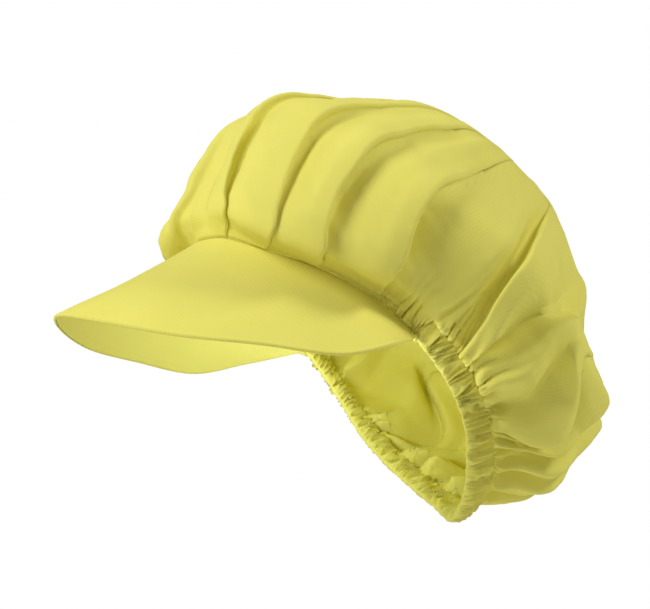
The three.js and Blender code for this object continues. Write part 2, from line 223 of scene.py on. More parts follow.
# Faces of a surface of stacked rings that close on themselves. Neighbours have the same number of
# points, or one has twice as many as the other; a ring of one point is a pole
def ringFaces(counts):
    faces = []
    starts = np.concatenate([[0], np.cumsum(counts)])
    for n, m, a, b in zip(counts, counts[1:], starts, starts[1:]):
        around = max(n, m) if 1 in (n, m) else min(n, m)
        j = np.arange(around)
        k = (j + 1) % around
        if n == 1:
            strips = [(a + 0 * j, b + k, b + j)]
        elif m == 1:
            strips = [(a + j, a + k, b + 0 * j)]
        elif n == m:
            strips = [(a + j, a + k, b + k, b + j)]
        elif n == 2 * m:
            last = (2 * j + 2) % n
            strips = [(a + 2 * j, a + 2 * j + 1, b + j), (a + 2 * j + 1, b + k, b + j),
                      (a + 2 * j + 1, a + last, b + k)]
        else:
            last = (2 * j + 2) % m
            strips = [(a + j, b + 2 * j + 1, b + 2 * j), (a + j, a + k, b + 2 * j + 1),
                      (a + k, b + last, b + 2 * j + 1)]
        for strip in strips:
            faces.extend(np.stack(strip, -1).tolist())
    return faces


# Crown. Its cloth is lofted through lines that run from the opening to its middle, in order from the
# forehead round to the nape. A pleat has 1 if it drops towards the nape and -1 if towards the forehead,
# and its rows hold ring, angle of its edge, height, width of the drop behind the edge, how far the edge
# hangs over it and how deep it drops. A fold's rows hold ring, angle and height
crown = {
    "thickness": 0.9,
    "columns": 1536,                 # points round the opening
    "lines": [
        ("pleat", "middle", 1, [
            (0.0, 13, 1.8, 0.6, 1.5, 1.3), (0.025, 15.2, 3, 0.6, 2, 1.8), (0.05, 18.2, 3.7, 0.7, 2.5, 2),
            (0.075, 20.2, 4.7, 0.8, 2.5, 2.8), (0.1, 17.6, 6, 0.8, 2, 4.2), (0.135, 14.1, 7.4, 0.8, 1.6, 5.8),
            (0.18, 10.8, 8.8, 0.8, 1.4, 7.3), (0.23, 8.6, 9.5, 1, 1.2, 8), (0.3, 7.6, 9.3, 1.5, 0.8, 7.6),
            (0.4, 7.5, 7, 4, 0.2, 5.2), (0.55, 8, 3, 8, 0, 2.6), (0.75, 8, 1, 4, 0, 1), (1, 8, 0, 3, 0, 0)]),
        ("fold", "front panel", [
            (0, 20, 0.8), (0.045, 26, 3.2), (0.07, 30, 4.4), (0.115, 27, 6), (0.23, 20, 7), (0.4, 17, 5),
            (0.75, 16, 1), (1, 16, 0)]),
        ("pleat", "front", 1, [
            (0.0, 30, 1.5, 0.6, 1.5, 1.1), (0.025, 33.5, 2.8, 0.6, 2, 1.7),
            (0.045, 37, 4.3, 0.7, 2.5, 2), (0.075, 40.5, 5.8, 0.8, 2.8, 2.8),
            (0.115, 38.5, 7.6, 1.2, 2.6, 4.6), (0.185, 35, 9.6, 1.8, 2.4, 7), (0.285, 32, 9.8, 2.4, 2, 8),
            (0.34, 30.5, 9.2, 3, 1.6, 8), (0.435, 28, 6.6, 4, 0.6, 5.6), (0.54, 26.5, 4.5, 5, 0.2, 3.8),
            (0.7, 25.5, 2.8, 6, 0, 2.4), (1, 25, 0, 3, 0, 0)]),
        ("fold", "temple panel", [
            (0, 38, 0.6), (0.045, 44, 3), (0.07, 47, 4.4), (0.115, 45, 6.8), (0.23, 41.5, 8), (0.4, 39, 5.8),
            (0.65, 36, 2), (1, 36, 0)]),
        ("pleat", "temple", 1, [
            (0.0, 48, 1.2, 0.6, 1.5, 1), (0.025, 50.5, 2.2, 0.6, 2, 1.6), (0.05, 53, 3.8, 0.8, 2.8, 2.8),
            (0.075, 53.5, 6.2, 1, 3, 4.8), (0.122, 51, 9.2, 1.6, 3, 9), (0.2, 48.5, 11.3, 2.4, 2.8, 12),
            (0.285, 48, 11.3, 3.2, 2.2, 11), (0.372, 47, 9.3, 4.4, 1, 8.4), (0.5, 46, 5.8, 5.5, 0.2, 5),
            (0.65, 45, 3.8, 7, 0, 3.6), (0.8, 45, 1.5, 5, 0, 1.5), (1, 45, 0, 3, 0, 0)]),
        ("fold", "side panel", [
            (0, 58, 0.4), (0.045, 61, 2), (0.08, 62, 3.6), (0.115, 61, 5.6), (0.23, 58.5, 7.4),
            (0.4, 57.5, 6), (0.7, 55, 2), (1, 55, 0)]),
        ("pleat", "side", 1, [
            (0.0, 69.5, 0.8, 0.6, 1, 0.7), (0.03, 69.8, 2, 0.8, 2, 1.8), (0.065, 69.8, 4.6, 1.2, 2.8, 4.8),
            (0.115, 69, 9, 1.8, 2.8, 11), (0.188, 66.5, 12, 2.8, 2.8, 15.5), (0.28, 65, 11.5, 4, 2.4, 14.5),
            (0.36, 65, 9, 5.5, 1.2, 9.5), (0.43, 65.5, 6.5, 7, 0.2, 6.2), (0.55, 66.5, 3.5, 9, 0, 3.2),
            (0.7, 66.5, 1, 8, 0, 1), (1, 66, 0, 4, 0, 0)]),
        ("fold", "ear panel", [
            (0, 84, 0.4), (0.05, 84, 1), (0.1, 83, 2), (0.2, 83, 3.5), (0.3, 84, 4), (0.5, 85, 3.5),
            (0.7, 85, 1.5), (0.9, 84, 0.5), (1, 84, 0)]),
        ("pleat", "slit", -1, [
            (0, 98.5, 0.4, 0.8, 0, 0.4), (0.05, 98.5, 1.8, 0.6, 0.8, 3.5), (0.085, 97.3, 4, 0.5, 1.5, 8),
            (0.125, 95, 7, 0.5, 2, 12), (0.2, 92, 10, 0.5, 2.2, 15), (0.31, 90.5, 9.5, 0.5, 2.2, 15),
            (0.4, 90, 8.5, 0.5, 2, 13.5), (0.57, 91, 6.5, 0.5, 1.6, 10), (0.7, 92.5, 4, 0.6, 0.8, 6),
            (0.8, 94, 1.5, 2, 0, 2), (0.9, 95, 0, 3, 0, 0), (1, 95, 0, 3, 0, 0)]),
        ("fold", "ear valley", [
            (0, 104.5, 0), (0.05, 103, -1.5), (0.1, 101.3, -4), (0.2, 101.5, -6.5), (0.3, 103, -7),
            (0.43, 107.5, -6.5), (0.57, 115, -5), (0.7, 127, -4), (0.8, 132, -1), (1, 134, 0)]),
        ("fold", "lobe", [
            (0, 112.5, 0.4), (0.05, 111, 4), (0.1, 109.5, 6.5), (0.16, 109.5, 8.5), (0.22, 109.5, 9),
            (0.3, 108.8, 7.5), (0.36, 109.5, 6.3), (0.43, 112.5, 5), (0.57, 122, 4), (0.7, 134, 2.5),
            (0.85, 138, 0.5), (1, 140, 0)]),
        ("fold", "lobe valley", [
            (0, 118.5, 0), (0.05, 119.3, -5.5), (0.09, 121.6, -8), (0.13, 121.6, -8), (0.16, 120.8, -7),
            (0.2, 119.6, -6), (0.24, 118.6, -4.5), (0.28, 117.2, -2.2), (0.33, 114.8, 1.5),
            (0.38, 114.3, 3.2), (0.43, 116.5, 3.6), (0.57, 127, 3), (0.7, 139, 1.5), (1, 144, 0)]),
        ("pleat", "nape", 1, [
            (0, 125.5, 0.3, 2, 0, 0.3), (0.05, 125.5, 3.5, 1, 0.5, 5), (0.095, 131, 6.5, 1, 1, 8),
            (0.128, 134.5, 8.5, 1, 1.8, 9), (0.165, 135.5, 9.5, 1, 2, 10), (0.205, 135, 10, 1, 2, 10),
            (0.24, 132, 10, 1.2, 2, 10), (0.275, 127, 9.5, 1.5, 1.8, 9.5), (0.31, 121.5, 8.5, 2, 1.4, 8),
            (0.36, 120, 6.5, 3, 0.4, 5.5), (0.43, 124.5, 4.6, 6, 0, 2.6), (0.5, 131.5, 3, 7, 0, 1),
            (0.57, 138.5, 2.2, 6, 0, 0.6), (0.64, 144.5, 1.5, 5, 0, 0.4), (0.75, 149, 1, 4, 0, 0.2),
            (1, 152, 0, 3, 0, 0)]),
        ("fold", "nape ridge", [
            (0, 131, 0.4), (0.05, 131, 4.5), (0.1, 136, 4.5), (0.2, 142, 5.5), (0.3, 141, 6),
            (0.41, 141.5, 5.5), (0.5, 147, 4.5), (0.57, 151, 3), (0.64, 154.5, 2), (0.75, 157, 1),
            (1, 158, 0)]),
        ("fold", "low valley", [
            (0, 138, 0), (0.05, 138, -7), (0.09, 140, -8.5), (0.2, 145.5, -7), (0.3, 149, -4.5),
            (0.41, 151, -3), (0.5, 153.5, -2), (0.57, 156, -1), (0.64, 158.5, 0), (1, 162, 0)]),
        ("fold", "low lobe", [
            (0, 143, 0.4), (0.05, 143, 4.5), (0.1, 145, 5), (0.2, 151, 6.5), (0.3, 156, 6),
            (0.41, 159, 4.5), (0.57, 161.5, 2.5), (0.75, 164.5, 1), (1, 166, 0)]),
        ("fold", "low wedge", [
            (0, 147.5, 0), (0.05, 147.5, -7), (0.08, 148.5, -7.5), (0.12, 151, -3), (0.17, 154.5, 2.5),
            (0.25, 159, 4.5), (0.41, 163, 3.5), (0.57, 165.5, 2), (1, 169, 0)]),
        ("fold", "back lobe", [
            (0, 152.5, 0.4), (0.05, 152.5, 4), (0.1, 155, 5), (0.2, 161, 6), (0.3, 165, 5),
            (0.5, 168, 3), (0.75, 169, 1), (1, 171, 0)]),
        ("fold", "back wedge", [
            (0, 160, 0), (0.05, 160, -6), (0.08, 163, -6.5), (0.12, 166.5, -3), (0.17, 169, 1.5),
            (0.25, 171, 3), (0.41, 172, 2), (1, 174, 0)]),
        ("fold", "back ridge", [
            (0, 168, 0.4), (0.05, 168, 4), (0.1, 172, 4), (0.2, 176, 4), (0.3, 177, 3),
            (0.5, 177, 2), (0.75, 177, 0.5), (1, 177, 0)]),
    ],
    "frontMiddle": [
        (0, 1, 1), (0.045, 3.5, 3.5), (0.115, 4.5, 6.6), (0.17, 3.6, 7.8), (0.23, 3, 8.6), (0.3, 2.8, 8),
        (0.4, 2, 5.6), (0.75, 0, 1.2), (1, 0, 0)],
    "backMiddle": [
        (0, 180, 0), (0.05, 180, -1), (0.1, 180, -1.5), (0.2, 180, 1), (0.5, 180, 1.5), (1, 180, 0)],
    # lines that the far side has of its own; its others mirror the near side's, a little changed
    "farRows": {
        "middle": [
            (0.0, 8.8, 1.5, 0.6, 1.0, 1.2), (0.03, 9.6, 3, 0.8, 1.5, 2.2), (0.05, 8.8, 4.2, 0.8, 1.5, 3.4),
            (0.08, 8, 5.6, 0.8, 1.5, 4.8), (0.12, 6.6, 7.2, 0.8, 1.2, 6.2), (0.16, 4.2, 8.2, 1, 1, 7),
            (0.2, 2.6, 8.7, 1.2, 1, 7.5), (0.26, 2, 8.6, 1.6, 0.8, 7.6), (0.34, 2.4, 7, 3, 0.3, 6),
            (0.45, 4, 4.5, 6, 0, 4), (0.6, 7, 2, 6, 0, 2), (0.75, 9, 1, 4, 0, 1), (1, 9, 0, 3, 0, 0)],
        "front panel": [
            (0, 18, 0.5), (0.045, 18, 1), (0.07, 17, 1.5), (0.1, 15.5, 2), (0.15, 14.5, 3.4), (0.23, 14, 4.6),
            (0.4, 15, 5), (0.75, 16, 1), (1, 16, 0)],
        "front": [
            (0.0, 30, 1.6, 0.6, 1.5, 1.2), (0.03, 30, 3, 1, 2, 2), (0.05, 25.5, 5, 1.2, 2.5, 3),
            (0.07, 22.5, 6.5, 1.6, 2.5, 4), (0.1, 21, 6.5, 2, 2.2, 5), (0.13, 20.5, 7, 2.5, 2, 6),
            (0.17, 21, 9.5, 3, 1.5, 8), (0.25, 21, 10, 5, 0.6, 9), (0.34, 23, 8, 8, 0, 8),
            (0.435, 24.5, 6, 10, 0, 6), (0.54, 25, 5, 10, 0, 5), (0.7, 25, 2.5, 6, 0, 2.5),
            (1, 25, 0, 3, 0, 0)],
        "temple panel": [
            (0, 38, 0.5), (0.03, 38, 5), (0.05, 37, 9.5), (0.07, 36, 11.5), (0.09, 34.5, 10), (0.12, 34, 6),
            (0.16, 35, 4), (0.23, 37, 5.5), (0.4, 38, 6), (0.65, 36, 2), (1, 36, 0)],
    },
    "farSeed": 5,
    "farAngle": 1.2,                 # degrees that a far line may stray
    "farHeight": 0.16,               # share by which its height may differ
    "farStart": 0.05,                # ring from which it strays that far
    "leastCloth": 2.0,               # millimetres of cloth between a line and the one before it
    # how far whole areas sit above the smooth crown: angle, ring, half widths of each, height
    "swells": [
        (-12, 0.42, 34, 0.16, 2.0), (-30, 0.09, 16, 0.06, -2.5), (5, 0.55, 26, 0.12, -1.5),
        (178, 0.08, 14, 0.035, -5.0)],
    # the same across the whole back: ring and height, from one angle fully on from another
    "backFrom": (95.0, 125.0),
    "backProfile": [
        (0, 0), (0.05, -1.5), (0.08, -3), (0.12, -1.5), (0.16, 0), (0.2, -1.5), (0.25, -5), (0.35, -5.5),
        (0.4, -4), (0.45, -5.5), (0.5, -5), (0.55, -7), (0.6, -9.5), (0.63, -10), (0.69, -6.5), (0.74, -5),
        (0.78, -3.8), (0.83, -5), (0.87, -4.5), (0.9, -2.5), (0.96, 0), (1, 0)],
    # how sharply a fold is creased, from 0 to 1; a pleat is creased at its edge and a little in its valley
    "creases": {
        "ear valley": 0.6, "lobe valley": 1.0, "low valley": 0.2, "low wedge": 0.2, "back wedge": 0.2},
    "pleatCreases": [0, 0, 1, 0, 0.3],
    # a pleat's lines: shoulder, crest, edge, tuck and valley; millimetres of cloth between them
    "pleatCloth": [5.0, 2.4, 3.6, 4.4],
    "shoulders": {"middle": 3.5, "slit": 8.5},   # distance from its shoulder to its edge
    "shoulder": 7.0,                 # the same for every other pleat
    "shoulderStart": (0.45, 0.12),   # share of that distance at the opening, and ring where it is whole
    "shoulderLift": {1: 0.96, -1: 1.02},   # height of the shoulder, as a share, for either way it drops
    "crest": 1.2,                    # distance from the crest to the edge
    "nose": (0.9, 0.35),             # the edge is below the crest by this, or a share of its drop if less
    "tuckLift": 0.42,                # height of the tuck, as a share of the drop
    "narrowDrop": (0.3, 0.24, 0.16),   # share of a drop's width up to a ring, and rings until it is whole
    # gathers that rise from the casing: pitch, height, reach
    "gathers": [(3.4, 1.8, 9.0), (6.6, 3.1, 24.0), (17.0, 3.2, 60.0)],
    "farGathers": 1.7,               # how much higher the widest gathers are on the far side
    "nearGathers": (0.25, 100.0, 14.0),   # the near side's: least share, from an angle, degrees to whole
    "gatherStray": (0.55, 0.2),      # how far a gather strays along the opening, as shares of its pitch
    "gatherStrength": (0.62, 0.38),  # share of the height that all have, and by how much they differ
    "gatherPeak": 0.3,               # share of its reach at which a gather is highest
    "gatherStart": 0.25,             # added to the finest gathers, so that they begin at the stitch line
    "pinch": (2.3, 3.2),             # depth and reach of the dip at the casing's stitch line
    "underCasing": 3.0,              # how far its edge runs on inside the casing
    "rise": 3.0,                     # over this length from the casing the folds gain their height
    "seamPull": 1.6,                 # over this length the pleats flatten into the forehead seam
    "firstRing": 0.003,              # ring at which its cloth starts along the forehead seam
    # degrees over which the folds, and the cloth's edge, change between that seam and the casing
    "seamToCasing": (6.0, 3.0),
    "freeFrom": (9.0, 0.1),          # unevenness is whole this far from the edge and the middle
    "pressedBand": (5.2, 50.0, 60.0),   # width of the cloth pressed over that seam, between two angles
    "bandSwell": (0.5, 1.2, 1.5),    # its upper edge: height, distance above it, spread
    "bandGroove": (0.4, 0.6),        # the groove that its stitches pull: depth, spread
    "puckers": (0.3, 4.2),           # small puckers along it: height, pitch
    "tucks": (66.0, 84.0, 0.7),      # small gathers over the peak's end: from, fully from, share
    "unevenness": [(70.0, 0.8), (26.0, 0.35), (9.0, 0.1)],   # wavelength, height
    "leaveRing": 0.03,               # ring at which a column's angle is taken as where it leaves the opening
    # rows of the outer face: from, to, how many, and of how many columns each keeps one
    "zones": [(0.0, 0.055, 26, 1), (0.055, 0.3, 34, 2), (0.3, 0.86, 34, 4), (0.86, 0.985, 8, 8)],
}
ringSamples = np.linspace(0, 1, 801)
leaveSample = round(crown["leaveRing"] * (len(ringSamples) - 1))


def sampleRows(rows, column):
    rows = np.array(rows, float)
    return smoothCurve(rows[:, 0], rows[:, column], ringSamples)


# Five lines across a pleat: its shoulder, crest, edge, tuck and the valley behind its drop, each a
# distance round the crown from the edge and a height above the smooth crown
def pleatLines(name, facing, rows):
    edge, height, drop, tuck, fall = (sampleRows(rows, column) for column in (1, 2, 3, 4, 5))
    step = crownBase(edge + 0.5, ringSamples) - crownBase(edge - 0.5, ringSamples)
    degree = np.maximum(np.linalg.norm(step, axis=-1), 1.0)
    least, narrowTo, widening = crown["narrowDrop"]
    drop = drop * (least + (1 - least) * smoothStep((ringSamples - narrowTo) / widening))
    valley = height - fall
    mostNose, noseShare = crown["nose"]
    first, wholeFrom = crown["shoulderStart"]
    shoulder = crown["shoulders"].get(name, crown["shoulder"])
    shoulder = shoulder * (first + (1 - first) * smoothStep(ringSamples / wholeFrom))
    profile = [
        (-shoulder, height * crown["shoulderLift"][facing]),
        (-crown["crest"], height),
        (0.0, height - np.minimum(mostNose, fall * noseShare)),
        (-tuck, valley + fall * crown["tuckLift"]),
        (drop, valley)]
    lines = [(edge + facing * shift / degree, lift) for shift, lift in profile]
    return lines[::facing], [None] + crown["pleatCloth"][::facing], crown["pleatCreases"][::facing]


# One half of the crown's lines as angles, heights and labels, the label being how many millimetres of
# cloth along the opening lie between the middle of the forehead and the line
def halfLines(far):
    draw = np.random.default_rng(crown["farSeed"])
    angles, heights, gaps, sharpness = [], [], [], []
    for kind, name, *facing, rows in crown["lines"]:
        if far:
            stray, share = draw.uniform(-1, 1, 2)
            if name in crown["farRows"]:
                rows = crown["farRows"][name]
            else:
                rows = [(ring, angle + stray * crown["farAngle"] * smoothStep(ring / crown["farStart"]),
                         height * (1 + share * crown["farHeight"]), *rest)
                        for ring, angle, height, *rest in rows]
        if kind == "pleat":
            lines, steps, sharp = pleatLines(name, facing[0], rows)
        else:
            lines, steps = [(sampleRows(rows, 1), sampleRows(rows, 2))], [None]
            sharp = [crown["creases"].get(name, 0)]
        angles += [angle for angle, _ in lines]
        heights += [height for _, height in lines]
        gaps += steps
        sharpness += sharp
    labels, label, last = [], 0.0, 0.0
    for angle, gap in zip(angles, gaps):
        here = angle[leaveSample]
        between = np.linalg.norm(crownBase(here, crown["leaveRing"]) - crownBase(last, crown["leaveRing"]))
        label += max(between, crown["leastCloth"]) if gap is None else gap
        labels.append(label)
        last = here
    end = label + np.linalg.norm(crownBase(180, crown["leaveRing"]) - crownBase(last, crown["leaveRing"]))
    return np.array(angles), np.array(heights), np.array(labels), np.array(sharpness, float), end


nearAngles, nearHeights, nearLabels, nearSharp, nearEnd = halfLines(False)
farAngles, farHeights, farLabels, farSharp, farEnd = halfLines(True)
frontLine = [sampleRows(crown["frontMiddle"], column) for column in (1, 2)]
backLine = [sampleRows(crown["backMiddle"], column) for column in (1, 2)]
wholeLength = nearEnd + farEnd
lineAngles = np.vstack([-farAngles[::-1], frontLine[:1], nearAngles, backLine[:1]])
lineHeights = np.vstack([farHeights[::-1], frontLine[1:], nearHeights, backLine[1:]])
lineLabels = np.concatenate([-farLabels[::-1], [0.0], nearLabels, [nearEnd]])
lineSharp = np.concatenate([farSharp[::-1], [0.0], nearSharp, [0.0]])
# two more lines at each end, one turn away, so that the loft closes
lineAngles = np.vstack([lineAngles[-2:] - 360, lineAngles, lineAngles[:2] + 360])
lineHeights = np.vstack([lineHeights[-2:], lineHeights, lineHeights[:2]])
lineLabels = np.concatenate([lineLabels[-2:] - wholeLength, lineLabels, lineLabels[:2] + wholeLength])
lineSharp = np.concatenate([lineSharp[-2:], lineSharp, lineSharp[:2]])


# Angle and height of the cloth at a label and ring: a cubic across the four nearest lines, whose
# slopes never overshoot a line. At a crease both sides run straight into it
def acrossLines(label, ring):
    i = np.clip(np.searchsorted(lineLabels, label, side="right") - 1, 1, len(lineLabels) - 3)
    position = np.clip(ring, 0, 1) * (len(ringSamples) - 1)
    low = np.minimum(position.astype(int), len(ringSamples) - 2)
    part = position - low
    gaps = [lineLabels[i + k + 1] - lineLabels[i + k] for k in (-1, 0, 1)]
    t = (label - lineLabels[i]) / gaps[1]
    results = []
    for table, sharp in ((lineAngles, 0 * lineSharp), (lineHeights, lineSharp)):
        values = [table[i + k, low] * (1 - part) + table[i + k, low + 1] * part for k in (-1, 0, 1, 2)]
        rises = [(values[k + 1] - values[k]) / gaps[k] for k in (0, 1, 2)]
        slopes = [gentleSlope(rises[k], rises[k + 1], gaps[k], gaps[k + 1]) * (1 - sharp[i + k])
                  + rises[1] * sharp[i + k] for k in (0, 1)]
        results.append(cubic(t, gaps[1], values[1], values[2], *slopes))
    return results


# Angle at which a column of cloth leaves the opening, from -180 to 180
def openingAngle(label):
    return acrossLines(label, np.full_like(label, crown["leaveRing"]))[0]


roundAngles = np.linspace(-180, 180, 721)
roundPoints = crownBase(roundAngles, 0.04)
roundLengths = np.concatenate([[0], np.cumsum(np.linalg.norm(np.diff(roundPoints, axis=0), axis=-1))])
roundStart = ringAtWidth(np.abs(roundAngles), capShape["casingWidth"])
coveredStart = ringAtWidth(np.abs(roundAngles), capShape["casingWidth"] - crown["underCasing"])


# Millimetres round the opening, counted from the nape
def roundLength(angle):
    return np.interp(angle, roundAngles, roundLengths)


# Height of the gathers: pinched waves of several pitches, each of which swells and dies away with the
# distance from the stitch line
def gatherHeight(length, distance, leave):
    height = np.zeros_like(distance)
    for level, (pitch, high, reach) in enumerate(crown["gathers"]):
        slow, quick = crown["gatherStray"]
        stray = pitch * (slow * wander(length, pitch * 5, 20 + level)
                         + quick * wander(length + 0.6 * distance, pitch * 4, 30 + level))
        common, differing = crown["gatherStrength"]
        strength = common + differing * wander(length, pitch * 3.1, 40 + level)
        if level == len(crown["gathers"]) - 1:
            least, nearFrom, growing = crown["nearGathers"]
            nearShare = least + (1 - least) * smoothStep((leave - nearFrom) / growing)
            strength = strength * np.where(leave > 0, nearShare, crown["farGathers"])
        near = distance / (crown["gatherPeak"] * reach)
        swell = (near + (crown["gatherStart"] if level == 0 else 0)) * np.exp(1 - near)
        height += high * strength * swell * pinched((length + stray) / pitch)
    return height


# Height of the band pressed over the forehead seam, near the peak's end: a puckered swell along its
# upper edge and a groove at its stitches, both bell curves of the distance from the seam
def bandHeight(leave, fromEdge):
    width, bandFrom, bandFull = crown["pressedBand"]
    high, above, spread = crown["bandSwell"]
    deep, narrow = crown["bandGroove"]
    pucker, pitch = crown["puckers"]
    length = roundLength(leave)
    puckers = pucker * pinched(length / pitch + 0.4 * wander(length, 22, 51))
    swell = np.exp(-((fromEdge - width - above) / spread) ** 2)
    groove = np.exp(-((fromEdge - width) / narrow) ** 2)
    pressed = smoothStep((np.abs(leave) - bandFrom) / (bandFull - bandFrom))
    return pressed * (swell * (high + puckers) - deep * groove)


# The crown's middle sheet: the loft's angle and height on the smooth crown, with the profile of the
# back, the gathers at the casing, the pressed band over the forehead seam and soft unevenness
def crownSheet(label, ring):
    angle, height = acrossLines(label, ring)
    leave = openingAngle(label)
    start = np.interp(np.abs(leave), roundAngles, roundStart)
    spread = crown["seamToCasing"][0]
    behind = smoothStep((np.abs(leave) - capShape["casingEnd"] + spread) / spread)
    base = crownBase(angle, ring)
    edge = crownBase(angle, crown["firstRing"])
    fromEdge = np.linalg.norm(base - edge, axis=-1)
    fromStitches = np.linalg.norm(base - crownBase(angle, start), axis=-1) * np.where(ring < start, -1, 1)
    away = fromStitches * behind + fromEdge * (1 - behind)
    turned = np.abs((angle + 180) % 360 - 180)
    backFrom, backFull = crown["backFrom"]
    rings, profile = zip(*crown["backProfile"])
    backShare = smoothStep((turned - backFrom) / (backFull - backFrom))
    height = height + backShare * smoothCurve(rings, profile, ring)
    for swellAngle, swellRing, halfAngle, halfRing, high in crown["swells"]:
        off = (angle - swellAngle + 180) % 360 - 180
        height = height + high * np.exp(-(off / halfAngle) ** 2 - ((ring - swellRing) / halfRing) ** 2)
    height = height * (1 - behind * (1 - smoothStep(np.maximum(away, 0) / crown["rise"])))
    tuckFrom, tuckFull, tuckShare = crown["tucks"]
    gathered = np.maximum(behind, tuckShare * smoothStep((np.abs(leave) - tuckFrom) / (tuckFull - tuckFrom)))
    height = height + gathered * gatherHeight(roundLength(leave), np.maximum(away, 0), leave)
    depth, pinchReach = crown["pinch"]
    height = height - behind * depth * np.exp(-(away / pinchReach) ** 2)
    height = height * (behind + (1 - behind) * smoothStep(fromEdge / crown["seamPull"]))
    height = height + (1 - behind) * bandHeight(leave, fromEdge)
    freeLength, freeRing = crown["freeFrom"]
    free = smoothStep(np.abs(away) / freeLength) * smoothStep((1 - ring) / freeRing)
    for number, (wavelength, high) in enumerate(crown["unevenness"]):
        height = height + free * high * ripple(base, wavelength, 60 + number)
    return base + crownNormal(angle, ring) * height[..., None]


# Ring of each point of a column: from where its cloth starts to the middle of the crown
def crownRings(label, share):
    leave = openingAngle(label)
    behind = smoothStep((np.abs(leave) - capShape["casingEnd"]) / crown["seamToCasing"][1])
    covered = np.interp(np.abs(leave), roundAngles, coveredStart)
    start = crown["firstRing"] + behind * (covered - crown["firstRing"])
    return start[None, :] + (1 - start[None, :]) * share[:, None]


# Normals of a grid that closes on itself: the cross product of its steps round and up
def gridNormals(grid):
    roundWay = np.roll(grid, -1, axis=1) - np.roll(grid, 1, axis=1)
    upWay = np.gradient(grid, axis=0)
    return unit(np.cross(roundWay, upWay))


# The crown's closed cloth: the sheet moved half its thickness along its normals either way. The inner
# face has every second row and, but for the top, half the columns; both faces meet at the opening
def makeCrown():
    columns = crown["columns"]
    label = -farEnd + np.arange(columns) * wholeLength / columns
    share = np.concatenate([np.linspace(a, b, n, endpoint=False) for a, b, n, _ in crown["zones"]])
    skip = np.concatenate([np.full(n, s) for _, _, n, s in crown["zones"]])
    ring = crownRings(label, share)
    sheet = crownSheet(np.broadcast_to(label, ring.shape), ring)
    normals = gridNormals(sheet)
    half = crown["thickness"] / 2
    top = crownBase(0, 1)
    up = np.array([0, sin(slope), cos(slope)])
    turn = label * (2 * pi / wholeLength)
    rise = np.linalg.norm(np.diff(sheet, axis=0), axis=-1)
    last = np.linalg.norm(sheet[-1] - top, axis=-1)
    radius = last + np.concatenate([np.cumsum(rise[::-1], axis=0)[::-1], np.zeros((1, columns))])
    flat = np.stack([radius * np.sin(turn), radius * np.cos(turn)], -1)
    rows, flats, counts = [top[None] - up * half], [np.zeros((1, 2))], [1]
    for r in range(len(share) - 2, -1, -2):
        every = min(skip[r] * 2, 8)
        rows.append((sheet[r] - normals[r] * half)[::every])
        flats.append(flat[r][::every])
        counts.append(columns // every)
    for r in range(len(share)):
        rows.append((sheet[r] + normals[r] * half)[::skip[r]])
        flats.append(flat[r][::skip[r]])
        counts.append(columns // skip[r])
    rows.append(top[None] + up * half)
    flats.append(np.zeros((1, 2)))
    counts.append(1)
    piece = makeMesh("crownCloth", np.vstack(rows), ringFaces(counts), np.vstack(flats))
    print("crown:", len(counts), "rows,", len(piece.data.polygons), "faces")
    return piece


# Elastic casing
casing = {
    "stations": 1280,
    "around": 26,
    "thickness": 4.4,
    "ruche": 2.8,                    # height of its wrinkles
    "pitch": 3.3,
    # its two sets of wrinkles: seed, pitch as a share, lean across the casing, height as a share
    "wrinkles": [(20, 1.0, 0.2, 1.0), (70, 1.7, -0.9, 0.42)],
    "rimStart": (0.1, 0.3),          # share of their height at the free edge, and where it is whole
    "stitched": (0.4, 0.85),         # share of it that the stitch line takes, and where that begins
    "roundness": 0.75,               # 1 gives its section round sides, 0 square ones
    "taper": 0.35,                   # share of its thickness lost towards the stitch line
    "middleRing": 0.02,              # ring along which its stations are spaced evenly
    "overlap": 0.4,                  # how far it runs past the crown's stitch line
    "stray": (0.4, 0.16),            # how far a wrinkle strays, as shares of its pitch
    "strength": (0.74, 0.26),        # share of the height that all have, and by how much they differ
    "tuckedIn": 2.5,                 # degrees by which its ends run in behind the peak's
    "ends": 1 / 90,                  # share of its length over which it thins and smooths to its ends
    "endThickness": 0.45,            # its thickness there, as a share
    "dipShare": 0.8,                 # how much of the crown's dip at the stitch line it follows
    "rimWave": 0.2,                  # how far the free edge wanders with the wrinkles
    "slack": 1.6,                    # cloth to a length of casing, by which its weave is drawn closer
}


# Wrinkles across the casing: pinched waves whose place and lean wander as they go round; where those of
# a second, sparser set are higher they take over, so that some wrinkles fork
def rucheHeight(length, share, face):
    high = np.full(np.broadcast(length, share).shape, -1.0)
    for seed, pitchShare, lean, most in casing["wrinkles"]:
        pitch = casing["pitch"] * pitchShare
        slow, quick = casing["stray"]
        stray = pitch * (slow * wander(length, pitch * 5, seed + face)
                         + quick * wander(length + 6 * share, pitch * 2.2, seed + 1 + face))
        slant = pitch * (share - 0.5) * (lean + 0.8 * wander(length, 26, seed + 2))
        bend = pitch * 0.3 * np.cos(pi * (share - 0.5)) * wander(length, 18, seed + 4)
        common, differing = casing["strength"]
        strength = most * (common + differing * wander(length + 5 * share, pitch * 2.7, seed + 3))
        wave = pinched((length + stray + slant + bend) / pitch)
        high = np.maximum(high, strength * (1 + wave) - 1)
    return casing["ruche"] * high


